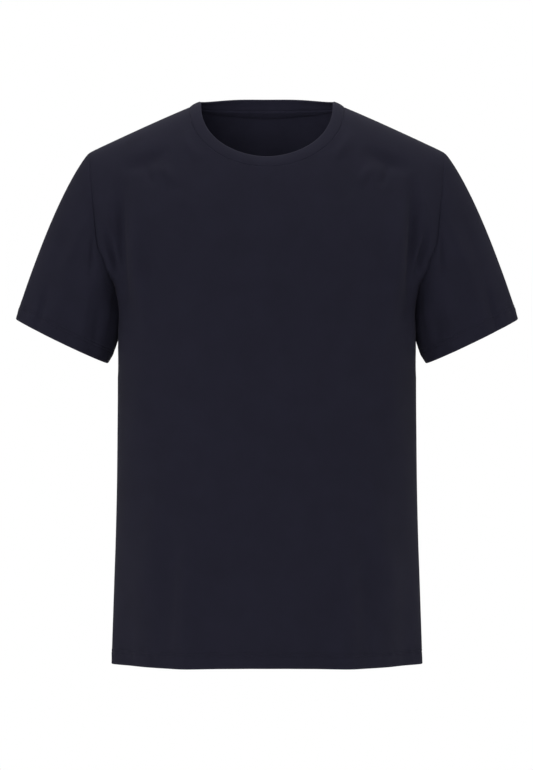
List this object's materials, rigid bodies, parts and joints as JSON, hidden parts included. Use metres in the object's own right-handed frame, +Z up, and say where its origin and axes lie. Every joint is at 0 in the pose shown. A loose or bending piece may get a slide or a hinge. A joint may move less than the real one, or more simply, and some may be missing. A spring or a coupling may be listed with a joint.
{
  "type": "pajama top",
  "caption": "Short-sleeved crew-neck pajama top of plain jersey, filled out as worn, with set-in sleeves and an open neck, cuffs and hem.",
  "frame": {"origin": "midway between the two high shoulder points, where the neckband meets the shoulder seams and the wearer's shoulders hold the garment", "axes": "+Z up along the body, -Y out of the front, +X to the wearer's left"},
  "size_m": [0.623, 0.2396, 0.7014],
  "materials": {
    "jersey": "fine dark navy single jersey, matt with a soft sheen at the edges"
  },
  "bodies": {
    "root": {"front": "jersey", "back": "jersey", "sleeve_left": "jersey", "sleeve_right": "jersey", "neckband": "jersey"}
  },
  "joints": []
}
